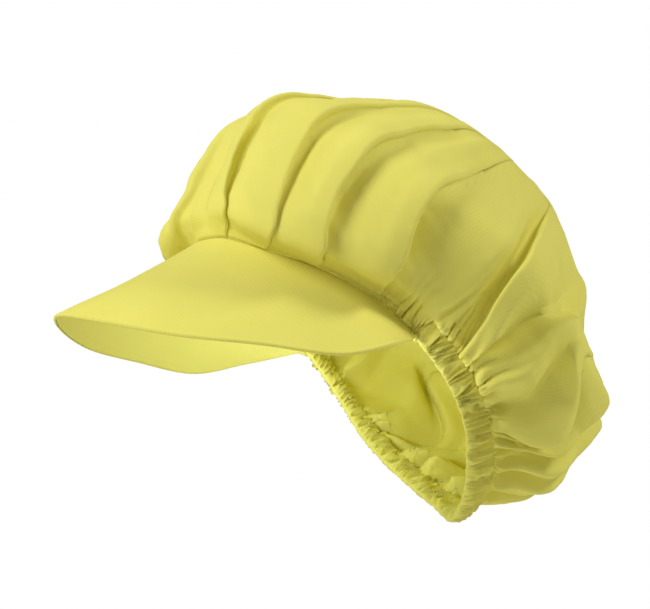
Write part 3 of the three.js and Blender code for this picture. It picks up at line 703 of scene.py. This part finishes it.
# A closed flat tube that follows the opening's edge: a point runs round the section as the cosine of
# its turn goes across the width and the sine goes through the thickness. The lines of equal angle lean
# near the opening, so the length that the wrinkles go by is moved by that lean across the width
def makeCasing():
    stations, around = casing["stations"], casing["around"]
    end = capShape["casingEnd"] - casing["tuckedIn"]
    full = np.linspace(end, 360 - end, 721)
    middle = casing["middleRing"]
    points = crownBase(full, middle)
    along = np.concatenate([[0], np.cumsum(np.linalg.norm(np.diff(points, axis=0), axis=-1))])
    angle = np.interp(np.linspace(0, along[-1], stations), along, full)
    top = ringAtWidth(np.minimum(angle, 360 - angle), capShape["casingWidth"] + casing["overlap"])
    turn = np.arange(around) * 2 * pi / around
    share = 0.5 - 0.5 * np.cos(turn)
    ring = share[None, :] * top[:, None]
    angles = np.broadcast_to(angle[:, None], ring.shape)
    base, normal = crownBase(angles, ring), crownNormal(angles, ring)
    toEnd = np.minimum(np.linspace(0, 1, stations), np.linspace(1, 0, stations))
    ends = smoothStep(toEnd / casing["ends"])[:, None]
    height = casing["thickness"] / 2 * np.sign(np.sin(turn)) * np.abs(np.sin(turn)) ** casing["roundness"]
    taper = np.where(share > 0.5, 1 - casing["taper"] * smoothStep((share - 0.5) / 0.5), 1.0)
    depth, pinchReach = crown["pinch"]
    dip = depth * np.exp(-((1 - share) * capShape["casingWidth"] / pinchReach) ** 2) * casing["dipShare"]
    thin = casing["endThickness"] + (1 - casing["endThickness"]) * ends[..., None]
    tube = base + normal * (height * taper)[None, :, None] * thin - normal * dip[None, :, None]
    out = unit(np.cross(np.roll(tube, -1, axis=1) - np.roll(tube, 1, axis=1), np.gradient(tube, axis=0)))
    length = roundLength(((angles + 180) % 360) - 180)
    roundWay = unit(crownBase(angle + 1, middle) - crownBase(angle - 1, middle))
    skew = np.sum((crownBase(angle, top) - crownBase(angle, 0.0)) * roundWay, axis=-1)
    length = length + skew[:, None] * share[None, :]
    wrinkle = np.where(np.sin(turn)[None, :] >= 0, rucheHeight(length, share[None, :], 0),
                       rucheHeight(length, share[None, :], 4))
    rimShare, wholeFrom = casing["rimStart"]
    dipShare, dipFrom = casing["stitched"]
    held = ((1 - dipShare * smoothStep((share - dipFrom) / (1 - dipFrom)))
            * (rimShare + (1 - rimShare) * smoothStep(share / wholeFrom)))
    tube = tube + out * (wrinkle * held[None, :] * ends)[..., None]
    rimWave = casing["rimWave"] * wander(length, casing["pitch"] * 2.2, 81) * (1 - share[None, :]) ** 2
    upWay = unit(crownBase(angles, 0.06) - crownBase(angles, 0.0))
    tube = tube + upWay * (rimWave * ends)[..., None]
    counts = [1] + [around] * stations + [1]
    rows = [tube[0].mean(axis=0)[None], *tube, tube[-1].mean(axis=0)[None]]
    across = np.broadcast_to(share * capShape["casingWidth"] * 2, (stations, around))
    flat = np.stack([length * casing["slack"], across], -1)
    uv = np.vstack([flat[0, :1], flat.reshape(-1, 2), flat[-1, :1]])
    piece = makeMesh("casingCloth", np.vstack(rows), ringFaces(counts), uv)
    piece.data.flip_normals()        # its rings run the way that turns faces inwards
    print("casing:", len(piece.data.polygons), "faces")
    return piece


# Peak
peak = {
    "columns": 220,
    "rows": 56,
    "cloth": 1.0,
    "gap": 0.3,                      # between its two cloths
    "dome": -0.9,                    # below nothing, because its middle sags under the straight lines
    "rises": (0, -0.45, 0.9),        # direction of that and of its unevenness
    "seamStand": 0.85,               # from the crown's middle line out to the peak's, at their seam
    "edgeLead": 1.3,                 # how much sooner the edge closes in on its end than the seam does
    # its outer edge, from the middle to the end at the opening
    "edge": [
        (0, -170, -43), (33, -157, -48), (65.5, -128.5, -56), (89.5, -91, -61), (102, -52.5, -66),
        (100.5, -21, -60), (76.5, 3, -54)],
    "unevenness": (60.0, 0.5),
    "depth": 80.0,                   # usual distance from seam to edge, by which the next three are placed
    "edgeSeam": 3.2,                 # from the edge in to the line that holds the turned edge
    "press": (0.25, 0.8),            # how deep and how wide that line is pressed
    "turnedIn": (0.6, 2.2),          # how far its inner edge turns down into the seam, and over what length
    "lip": (80.0, -60.0, 8),         # the upper cloth's arc round the edge: from, to, points
    "lowerEnd": 0.985,               # how far towards the upper cloth's ends the lower cloth reaches
}


# Open Catmull-Rom curve through the peak's edge and its mirror image, side running from -1 to 1
def peakEdge(side):
    half = np.array(peak["edge"], float)
    points = np.vstack([half[:0:-1] * [-1, 1, 1], half])
    points = np.vstack([2 * points[0] - points[1], points, 2 * points[-1] - points[-2]])
    spans = len(points) - 3
    t = (np.asarray(side) + 1) / 2 * spans
    i = np.clip(np.floor(t).astype(int), 0, spans - 1)
    f = (t - i)[..., None]
    return catmullRom(*(points[i + k] for k in range(4)), f)


# The peak's middle sheet: straight lines from the seam to the edge, arched a little by a sine
def peakSheet(side, out):
    side, out = np.broadcast_arrays(np.asarray(side, float), np.asarray(out, float))
    angle = side * capShape["casingEnd"]
    seam = crownBase(angle, 0.0) + crownNormal(angle, 0.01) * peak["seamStand"]
    reach = np.sign(side) * (1 - (1 - np.abs(side)) ** peak["edgeLead"])
    point = seam + (peakEdge(reach) - seam) * out[..., None]
    rise = peak["dome"] * np.sin(pi * out) * (1 - side ** 2)
    wavelength, high = peak["unevenness"]
    rise = rise + high * np.sin(pi * np.clip(out, 0, 1)) * (1 - side ** 2) * ripple(point, wavelength, 90)
    return point + rise[..., None] * np.array(peak["rises"])


# Directions on the sheet: outward across its edge, and up from it
def peakFrame(side, out):
    step = 0.01
    across = peakSheet(np.minimum(side + step, 1), out) - peakSheet(np.maximum(side - step, -1), out)
    outward = peakSheet(side, np.minimum(out + step, 1)) - peakSheet(side, np.maximum(out - step, 0))
    up = unit(np.cross(outward, across))
    up = up * np.sign(up[..., 2:3])
    return unit(np.cross(across, up)) * np.sign(np.sum(np.cross(across, up) * outward, -1, keepdims=True)), up


# A closed cloth of the peak. Its section is a list of points: how far out on the sheet, how far beyond
# its edge and how far up; the section is carried from one end of the peak to the other
def peakCloth(name, section, sideEnd):
    side = np.linspace(sideEnd, -sideEnd, peak["columns"] + 1)
    out, beyond, up = (np.array(column) for column in zip(*section))
    sides, outs = np.broadcast_arrays(side[:, None], out[None, :])
    sheet = peakSheet(sides, outs)
    outward, upward = peakFrame(sides, outs)
    grid = sheet + outward * beyond[None, :, None] + upward * up[None, :, None]
    around = len(section)
    counts = [1] + [around] * len(side) + [1]
    middle = around // 4
    ends = [grid[k][[middle, -middle]].mean(axis=0)[None] for k in (0, -1)]
    points = np.vstack([ends[0], grid.reshape(-1, 3), ends[1]])
    width = np.linalg.norm(sheet[:, :1] - peakSheet(np.zeros(1), np.zeros(1)), axis=-1)
    flat = np.stack([np.broadcast_to(sheet[..., 0], outs.shape) * 1.05, -sheet[..., 1] + 0.3 * width], -1)
    uv = np.vstack([flat[0, :1], flat.reshape(-1, 2), flat[-1, :1]])
    piece = makeMesh(name, points, ringFaces(counts), uv)
    piece.data.flip_normals()        # its sections run the way that turns faces inwards
    return piece


# The upper cloth's section runs out along its top, round the lip and back under it; the lower cloth's
# runs out along its top and back
def makePeak():
    low = peak["gap"] / 2
    high = low + peak["cloth"]
    outs = np.linspace(0, 1, peak["rows"])
    pressDepth, pressWidth = peak["press"]
    press = pressDepth * np.exp(-(((1 - outs) * peak["depth"] - peak["edgeSeam"]) / pressWidth) ** 2)
    turnDepth, turnLength = peak["turnedIn"]
    turned = turnDepth * (1 - smoothStep(outs * peak["depth"] / turnLength))
    upperTop = [(o, 0.0, high - p - t) for o, p, t in zip(outs, press, turned)]
    turn = np.radians(np.linspace(*peak["lip"]))
    lip = [(1, high * cos(t), high * sin(t)) for t in turn]
    lip += [(1, peak["gap"] + 0.1, -high + 0.3), (1, peak["gap"], 0)]
    upperBottom = [(o, 0.0, low) for o in outs[::-1]]
    upper = peakCloth("peakUpperCloth", upperTop + lip + upperBottom, 1.0)
    lowerTop = [(o, 0.0, -low) for o in outs]
    lowerBottom = [(o, 0.0, -low - peak["cloth"] + p) for o, p in zip(outs[::-1], press[::-1])]
    lower = peakCloth("peakLowerCloth", lowerTop + lowerBottom, peak["lowerEnd"])
    print("peak:", len(upper.data.polygons) + len(lower.data.polygons), "faces")
    return upper, lower


# Stitches
stitch = {
    "length": 2.1,
    "pitch": 3.0,
    "radius": 0.22,
    "sides": 6,
    # along a stitch: place as a share of its length, thickness and lift as shares of its radius
    "profile": [
        (-0.5, 0.35, -0.3), (-0.38, 0.85, 0.1), (0.0, 1.0, 0.35), (0.38, 0.85, 0.1), (0.5, 0.35, -0.3)],
    "band": 5.2,                     # from the cloth's edge at the forehead seam up to its row
    "edgeGap": 0.4,                  # from the opening to that edge
    "bandFrom": 54.0,                # angles between which that row shows
    "bandEnd": 84.0,
    "strand": 0.8,                   # size of the unevenness of its thread
    "lit": "e6dc66",
    "dim": "cfc552",
}


# A row of stitches: short six-sided threads, thick in the middle and bent down at the ends
def makeStitches(name, centres, along, normals):
    share, thick, lift = np.array(stitch["profile"]).T
    sides, rings = stitch["sides"], len(share)
    turn = np.arange(sides) * 2 * pi / sides
    across = unit(np.cross(normals, along))
    middles = (centres[:, None] + along[:, None] * (share * stitch["length"])[:, None]
               + normals[:, None] * (lift * stitch["radius"])[:, None])
    spokes = np.cos(turn)[:, None] * across[:, None] + np.sin(turn)[:, None] * normals[:, None]
    points = middles[:, :, None] + stitch["radius"] * thick[:, None, None] * spokes[:, None]
    first = np.arange(len(centres))[:, None, None] * rings * sides
    a = first + np.arange(rings - 1)[:, None] * sides + np.arange(sides)
    b = first + np.arange(rings - 1)[:, None] * sides + (np.arange(sides) + 1) % sides
    faces = np.stack([a, b, b + sides, a + sides], -1).reshape(-1, 4).tolist()
    faces += (first[:, 0] + np.arange(sides)[::-1]).tolist()
    faces += (first[:, 0] + (rings - 1) * sides + np.arange(sides)).tolist()
    print("stitches:", len(centres), "in one row,", len(faces), "faces")
    return makeMesh(name, points.reshape(-1, 3), faces)


# Points and directions of a row that lies on the crown's outer face at a distance from the seam
def bandRow():
    label = np.linspace(-farEnd, nearEnd, 6001)
    leave = openingAngle(label)
    keep = (leave > stitch["bandFrom"]) & (leave < stitch["bandEnd"])
    label, leave = label[keep], leave[keep]
    ring = ringAtWidth(leave, stitch["band"] + stitch["edgeGap"])
    points = crownSheet(label, ring)
    upWay = unit(crownSheet(label, ring + 0.004) - crownSheet(label, np.maximum(ring - 0.004, 0.001)))
    along = unit(np.gradient(points, axis=0))
    normals = unit(np.cross(along, upWay))
    length = np.concatenate([[0], np.cumsum(np.linalg.norm(np.diff(points, axis=0), axis=-1))])
    pick = np.searchsorted(length, np.arange(stitch["pitch"], length[-1], stitch["pitch"]))
    lift = crown["thickness"] / 2 + 0.05
    return points[pick] + normals[pick] * lift, along[pick], normals[pick]


# Materials. A cloth's pattern follows its own map, in metres on the flat cloth
cloth = {
    "lit": "ebe36e",
    "dim": "e1d964",
    "ribPitch": 1.5,                 # a twill rib; a real one is 0.6, too fine to show at this size
    "ribDepth": 0.1,
    "yarnPitch": 1.1,                # along the diagonal; also coarser than the real yarns
    "slub": 2.4,                     # size of the thick and thin places in the yarn
    "mottle": 45.0,                  # size of the soft unevenness of its dye
    "roughness": 0.82,
    "sheen": 0.12,
    "translucence": (0.1, 1.2),      # share of the light that sinks into the yarns, and how deep
}


# An sRGB hex colour as linear values
def linear(hexColour):
    values = [int(hexColour[k:k + 2], 16) / 255 for k in (0, 2, 4)]
    return [v / 12.92 if v <= 0.04045 else ((v + 0.055) / 1.055) ** 2.4 for v in values] + [1.0]


# Sets a node's inputs, each to a value or from another node's output
def setInputs(node, inputs):
    for key, value in inputs.items():
        if isinstance(value, bpy.types.NodeSocket):
            node.id_data.links.new(value, node.inputs[key])
        else:
            node.inputs[key].default_value = value


# Adds one node of any kind with its settings and inputs
def addNode(tree, kind, settings=None, inputs=None):
    node = tree.nodes.new(kind)
    for key, value in (settings or {}).items():
        setattr(node, key, value)
    setInputs(node, inputs or {})
    return node


# A new material, its node tree and its shader
def startMaterial(name):
    material = bpy.data.materials.new(name)
    material.use_nodes = True
    return material, material.node_tree, material.node_tree.nodes["Principled BSDF"]


# Scale of a Wave node for bands of a pitch in millimetres: at scale 1 a band is 2 pi / 20 metres wide
def waveScale(pitch):
    return 2 * pi / 20 / (pitch * mm)


# Polyester-cotton twill, piece-dyed yellow: fine ribs parallel to one edge of the cut cloth, crossed by
# finer yarns, matt with a faint sheen where it turns away
def makeTwill(name, ribShare):
    material, tree, shader = startMaterial(name)
    coords = addNode(tree, "ShaderNodeUVMap", {"uv_map": "cloth"}).outputs["UV"]
    ribs = addNode(tree, "ShaderNodeTexWave", {"bands_direction": "Y"}, {
        "Vector": coords, "Scale": waveScale(cloth["ribPitch"]), "Distortion": 0.0})
    yarns = addNode(tree, "ShaderNodeTexWave", {"bands_direction": "DIAGONAL"}, {
        "Vector": coords, "Scale": waveScale(cloth["yarnPitch"]), "Distortion": 0.0})
    weave = addNode(tree, "ShaderNodeMath", {"operation": "MULTIPLY_ADD"}, {
        0: yarns.outputs["Fac"], 1: 0.45, 2: ribs.outputs["Fac"]})
    place = addNode(tree, "ShaderNodeTexCoord").outputs["Object"]
    mottle = addNode(tree, "ShaderNodeTexNoise", {}, {
        "Vector": place, "Scale": 1 / (cloth["mottle"] * mm), "Detail": 3.0, "Roughness": 0.55})
    slub = addNode(tree, "ShaderNodeTexNoise", {}, {
        "Vector": coords, "Scale": 1 / (cloth["slub"] * mm), "Detail": 2.0, "Roughness": 0.6})
    dye = addNode(tree, "ShaderNodeMix", {"data_type": "RGBA"}, {
        0: mottle.outputs["Fac"], 6: linear(cloth["dim"]), 7: linear(cloth["lit"])})
    # The weave also tints the colour, as painted shade and highlight: a little darker in its grooves and a
    # little lighter on its ribs, besides the real bump that it gives
    shade = addNode(tree, "ShaderNodeMapRange", {}, {
        "Value": weave.outputs["Value"], "From Min": 0.1, "From Max": 1.25, "To Min": 0.975, "To Max": 1.01})
    tint = addNode(tree, "ShaderNodeMix", {"data_type": "RGBA", "blend_type": "MULTIPLY"}, {
        0: 1.0, 6: dye.outputs[2], 7: shade.outputs["Result"]})
    rough = addNode(tree, "ShaderNodeMapRange", {}, {
        "Value": slub.outputs["Fac"], "From Min": 0.3, "From Max": 0.7,
        "To Min": cloth["roughness"] - 0.05, "To Max": cloth["roughness"] + 0.08})
    fibres = addNode(tree, "ShaderNodeMath", {"operation": "MULTIPLY_ADD"}, {
        0: slub.outputs["Fac"], 1: 0.5, 2: weave.outputs["Value"]})
    bump = addNode(tree, "ShaderNodeBump", {}, {
        "Strength": 0.3, "Distance": cloth["ribDepth"] * mm * ribShare, "Height": fibres.outputs["Value"]})
    sinks, depth = cloth["translucence"]
    setInputs(shader, {
        "Base Color": tint.outputs[2], "Roughness": rough.outputs["Result"], "Normal": bump.outputs["Normal"],
        "Specular IOR Level": 0.25, "Sheen Weight": cloth["sheen"], "Sheen Roughness": 0.4,
        "Sheen Tint": linear(cloth["lit"]), "Subsurface Weight": sinks, "Subsurface Scale": depth * mm,
        "Subsurface Radius": (1.0, 1.0, 0.8)})
    return material


# Spun polyester sewing thread, dyed to match: a little glossier than the cloth
def makeThread():
    material, tree, shader = startMaterial("spun polyester thread")
    place = addNode(tree, "ShaderNodeTexCoord").outputs["Object"]
    strands = addNode(tree, "ShaderNodeTexNoise", {}, {
        "Vector": place, "Scale": 1 / (stitch["strand"] * mm), "Detail": 2.0})
    colour = addNode(tree, "ShaderNodeMix", {"data_type": "RGBA"}, {
        0: strands.outputs["Fac"], 6: linear(stitch["dim"]), 7: linear(stitch["lit"])})
    setInputs(shader, {"Base Color": colour.outputs[2], "Roughness": 0.6})
    return material


# The studio: a pale floor, a white surround that lights the cap only a little, and four soft lamps
studio = {
    "floor": "ebebe8",
    "floorHeight": -0.46,
    "floorSize": 14.0,
    "surroundSeen": 1.0,             # brightness of the surround itself
    "surround": 0.18,                # brightness of the light that it gives
    # place, what it points at, size, watts, how cool: one from in front and above, one from behind on the
    # near side, one from the far side, and a small one in the hollow, where the head would be
    "lights": [
        ((0.3, -1.66, 1.02), (0.0, 0.0, -0.03), 0.95, 27.0, 0.0),
        ((1.0, 1.3, 1.3), (0.0, 0.0, -0.03), 0.6, 22.0, 0.0),
        ((-1.2, -1.0, 1.2), (0.0, 0.0, -0.03), 0.7, 6.0, 0.0),
        ((0.03, -0.03, -0.1), (-0.06, 0.06, 0.03), 0.03, 0.15, 0.3),
    ],
}

camera = {
    "azimuth": 66.0,
    "elevation": -4.0,
    "distance": 2000.0,
    "pixelsPerMm": 1.85,             # at that distance
    "frame": (650, 609),
    "seamPixel": (210, 240),         # where the middle of the forehead seam is seen
}


def makeFloor():
    half, height = studio["floorSize"] / 2, studio["floorHeight"]
    mesh = bpy.data.meshes.new("floor")
    mesh.from_pydata([(-half, -half, height), (half, -half, height), (half, half, height),
                      (-half, half, height)], [], [[0, 1, 2, 3]])
    floor = bpy.data.objects.new("floor", mesh)
    bpy.context.scene.collection.objects.link(floor)
    paint, _, shader = startMaterial("matt pale floor")
    setInputs(shader, {"Base Color": linear(studio["floor"]), "Roughness": 0.9})
    mesh.materials.append(paint)


# The surround is seen brighter than it lights, so that it doesn't wash out the folds
def makeSurround():
    world = bpy.data.worlds.new("white surround")
    world.use_nodes = True
    tree = world.node_tree
    seen = addNode(tree, "ShaderNodeLightPath").outputs["Is Camera Ray"]
    strength = addNode(tree, "ShaderNodeMapRange", {}, {
        "Value": seen, "To Min": studio["surround"], "To Max": studio["surroundSeen"]})
    setInputs(tree.nodes["Background"], {"Color": (1, 1, 1, 1), "Strength": strength.outputs["Result"]})
    bpy.context.scene.world = world
    bpy.context.scene.view_settings.view_transform = "Standard"


def makeLamps():
    for number, (place, aim, size, power, cool) in enumerate(studio["lights"]):
        lamp = bpy.data.lights.new("softLight%d" % number, "AREA")
        lamp.shape = "DISK"
        lamp.size = size
        lamp.energy = power
        lamp.color = (1 - cool, 1 - 0.7 * cool, 1.0)
        light = bpy.data.objects.new(lamp.name, lamp)
        light.location = place
        light.rotation_euler = (Vector(aim) - Vector(place)).to_track_quat("-Z", "Y").to_euler()
        light.visible_camera = False
        bpy.context.scene.collection.objects.link(light)
    print("studio: floor, surround and", len(studio["lights"]), "lamps")


# The camera looks along its azimuth and elevation, and stands where the forehead seam falls on its pixel
def makeCamera():
    azimuth, elevation = radians(camera["azimuth"]), radians(camera["elevation"])
    back = Vector((sin(azimuth) * cos(elevation), -cos(azimuth) * cos(elevation), sin(elevation)))
    right = Vector((cos(azimuth), sin(azimuth), 0))
    up = back.cross(right)
    width, height = camera["frame"]
    column, row = camera["seamPixel"]
    distance, scale = camera["distance"], camera["pixelsPerMm"]
    seam = Vector(capShape["foreSeam"])
    target = seam - right * ((column - width / 2) / scale) + up * ((row - height / 2) / scale)
    lens = bpy.data.cameras.new("camera")
    lens.sensor_width = 36.0
    lens.lens = lens.sensor_width * distance * scale / width
    lens.clip_end = 50
    viewer = bpy.data.objects.new("camera", lens)
    viewer.location = (target + back * distance) * mm
    viewer.rotation_mode = "QUATERNION"
    viewer.rotation_quaternion = back.to_track_quat("Z", "Y")
    bpy.context.scene.collection.objects.link(viewer)
    bpy.context.scene.camera = viewer
    print("camera: azimuth", camera["azimuth"], "elevation", camera["elevation"])


# A piece gets its material, the CAD node that it stands for and its body
def dress(piece, node, material):
    piece.data.materials.append(material)
    if node:
        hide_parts(node)
    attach(piece, "root")


makeCamera()
makeFloor()
makeSurround()
makeLamps()
crownTwill = makeTwill("piece-dyed twill, crown", 1.0)
casingTwill = makeTwill("piece-dyed twill, ruched", 0.8)
peakTwill = makeTwill("piece-dyed twill, drawn smooth", 0.6)
thread = makeThread()
print("materials:", len(bpy.data.materials))

crownPiece = makeCrown()
dress(crownPiece, "crown", crownTwill)
casingPiece = makeCasing()
dress(casingPiece, "elastic_casing", casingTwill)
upperPiece, lowerPiece = makePeak()
dress(upperPiece, "peak_upper", peakTwill)
dress(lowerPiece, "peak_lower", peakTwill)
bandStitches = makeStitches("bandStitches", *bandRow())
dress(bandStitches, None, thread)
